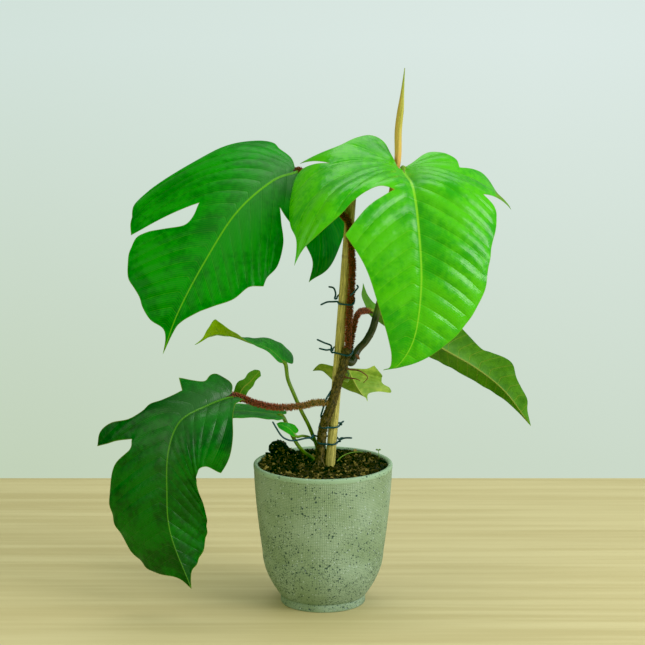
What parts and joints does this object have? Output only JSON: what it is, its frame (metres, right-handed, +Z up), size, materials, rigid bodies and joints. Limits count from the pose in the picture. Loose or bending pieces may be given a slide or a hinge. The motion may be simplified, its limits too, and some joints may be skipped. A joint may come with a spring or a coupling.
{
  "type": "potted philodendron",
  "caption": "Climbing philodendron with large lobed leaves, tied to a bamboo cane in a round footed ceramic pot.",
  "frame": {"origin": "centre of the flat underside of the pot's foot", "axes": "+Z up, +X to the right and +Y to the rear, seen from the side the leaves face"},
  "size_m": [0.4431, 0.1908, 0.5341],
  "materials": {
    "ceramic": "matte sage green with a fine woven relief and dark speckles",
    "soil": "coarse dark bark and coir mix",
    "bamboo": "pale dry cane with nodes",
    "bark": "rough scarred olive-brown stem",
    "young_stem": "smooth dark green stem",
    "hairy_stalk": "red-brown stalk covered in soft bristles",
    "green_stalk": "smooth green stalk",
    "wire": "dark teal plastic-coated wire",
    "root": "dry brown aerial root",
    "new_leaf": "rolled new leaf in its sheath",
    "leaf_dark": "glossy dark green leaf",
    "leaf_mid": "glossy mid green leaf",
    "leaf_bright": "glossy bright lime green leaf",
    "leaf_olive": "leaf with a dull olive underside"
  },
  "bodies": {
    "root": {"pot": "ceramic", "soil": "soil", "bamboo_cane": "bamboo", "main_stem": "bark", "shoot": "young_stem", "new_leaf": "new_leaf", "leaf_upper_left": "leaf_mid", "leaf_upper_right": "leaf_bright", "leaf_lower_left": "leaf_dark", "leaf_lower_lobe": "leaf_olive", "leaf_rear_right": "leaf_olive", "leaf_rear_low": "leaf_olive", "leaf_small_upper": "leaf_mid", "leaf_low_long": "leaf_mid", "leaf_small_curled": "leaf_olive", "stalk_upper_left": "hairy_stalk", "stalk_lower_left": "hairy_stalk", "stalk_rear_right": "hairy_stalk", "stalk_upper_right": "green_stalk", "stalk_rear_low": "green_stalk", "stalk_small_upper": "green_stalk", "stalk_low_long": "green_stalk", "stalk_small_curled": "green_stalk", "tie_top": "wire", "tie_middle": "wire", "tie_lower": "wire", "tie_bottom": "wire", "root_long": "root", "root_short": "root", "root_loop": "root"}
  },
  "joints": []
}
